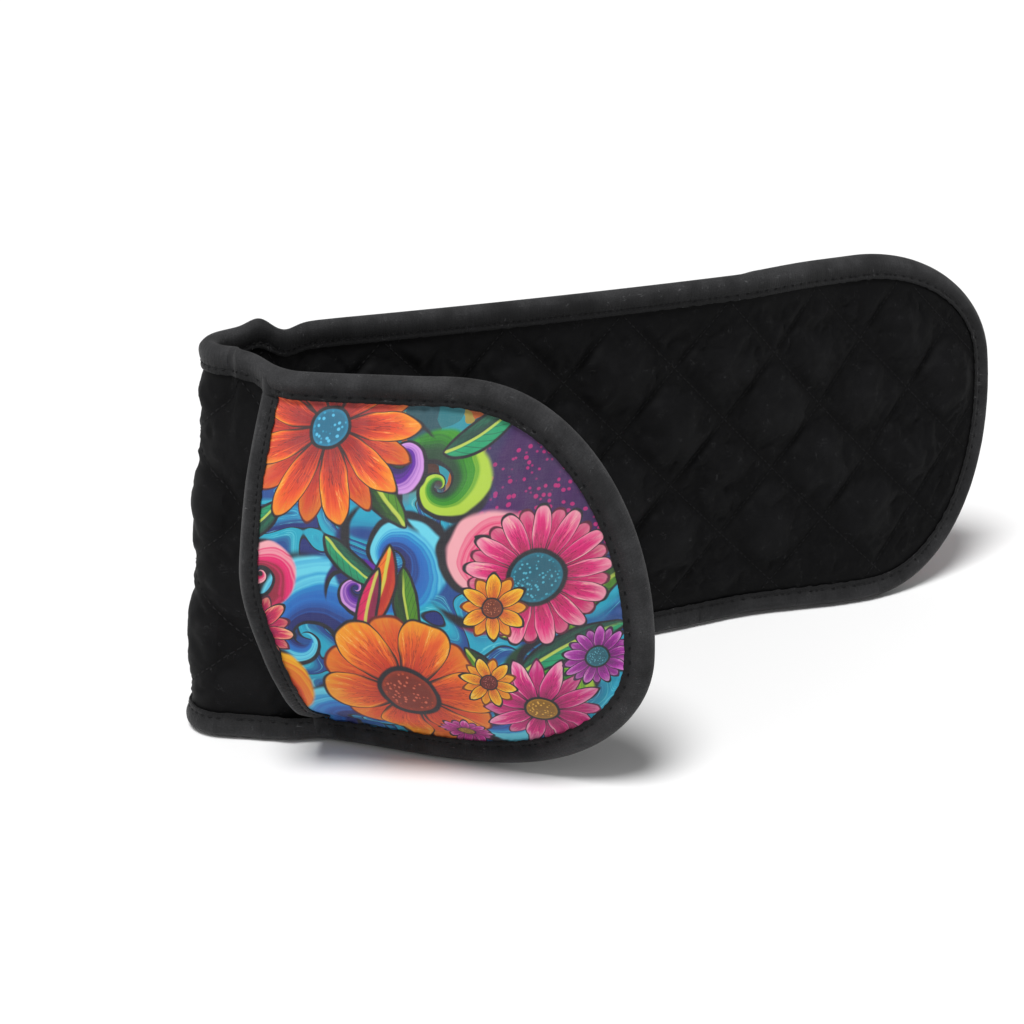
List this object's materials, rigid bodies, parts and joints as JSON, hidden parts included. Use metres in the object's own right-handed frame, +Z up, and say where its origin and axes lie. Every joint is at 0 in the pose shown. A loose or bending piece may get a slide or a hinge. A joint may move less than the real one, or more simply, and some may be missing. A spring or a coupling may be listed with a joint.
{
  "type": "double oven mitt",
  "caption": "Padded double oven mitt: one quilted strip bent into a U, with a printed hand pocket sewn on the outside of each rounded end and a bound edge all round.",
  "frame": {"origin": "under the middle of the whole mitt, on the surface that its lower edge stands on", "axes": "+Z up across the strip, +X towards the open side of the U, +Y from the near mitt to the far one"},
  "size_m": [0.4074, 0.295, 0.18],
  "materials": {
    "black_cloth": "matte black plain weave cotton, quilted in diamonds",
    "wadding": "off-white needled wadding",
    "black_binding": "matte black cotton twill tape, folded over the edges",
    "printed_cloth": "cloth printed all over with a bold floral pattern, soft low sheen",
    "lining_cloth": "matte black plain weave cotton",
    "black_thread": "black sewing thread, lockstitch"
  },
  "bodies": {
    "band": {"band_palm_cloth": "black_cloth", "band_wadding": "wadding", "band_outer_cloth": "black_cloth", "band_lower_binding": "black_binding", "band_lower_outer_stitching": "black_thread", "band_lower_palm_stitching": "black_thread", "band_upper_binding": "black_binding", "band_upper_outer_stitching": "black_thread", "band_upper_palm_stitching": "black_thread"},
    "near_mitt": {"near_palm_cloth": "black_cloth", "near_wadding": "wadding", "near_back_cloth": "black_cloth", "near_pocket_lining": "lining_cloth", "near_pocket_wadding": "wadding", "near_pocket_print": "printed_cloth", "near_edge_binding": "black_binding", "near_front_stitching": "black_thread", "near_palm_stitching": "black_thread", "near_mouth_binding": "black_binding", "near_mouth_stitching": "black_thread"},
    "far_mitt": {"far_palm_cloth": "black_cloth", "far_wadding": "wadding", "far_back_cloth": "black_cloth", "far_pocket_lining": "lining_cloth", "far_pocket_wadding": "wadding", "far_pocket_print": "printed_cloth", "far_edge_binding": "black_binding", "far_front_stitching": "black_thread", "far_palm_stitching": "black_thread", "far_mouth_binding": "black_binding", "far_mouth_stitching": "black_thread"}
  },
  "joints": [
    {"name": "near_fold", "type": "hinge", "parent": "band", "child": "near_mitt", "pos_m": [-0.16849, -0.09284, 0], "axis": [0, 0, -1], "range_deg": [-30, 90]},
    {"name": "far_fold", "type": "hinge", "parent": "band", "child": "far_mitt", "pos_m": [0.04916, 0.05184, 0], "axis": [0, 0, 1], "range_deg": [-40, 90]}
  ]
}
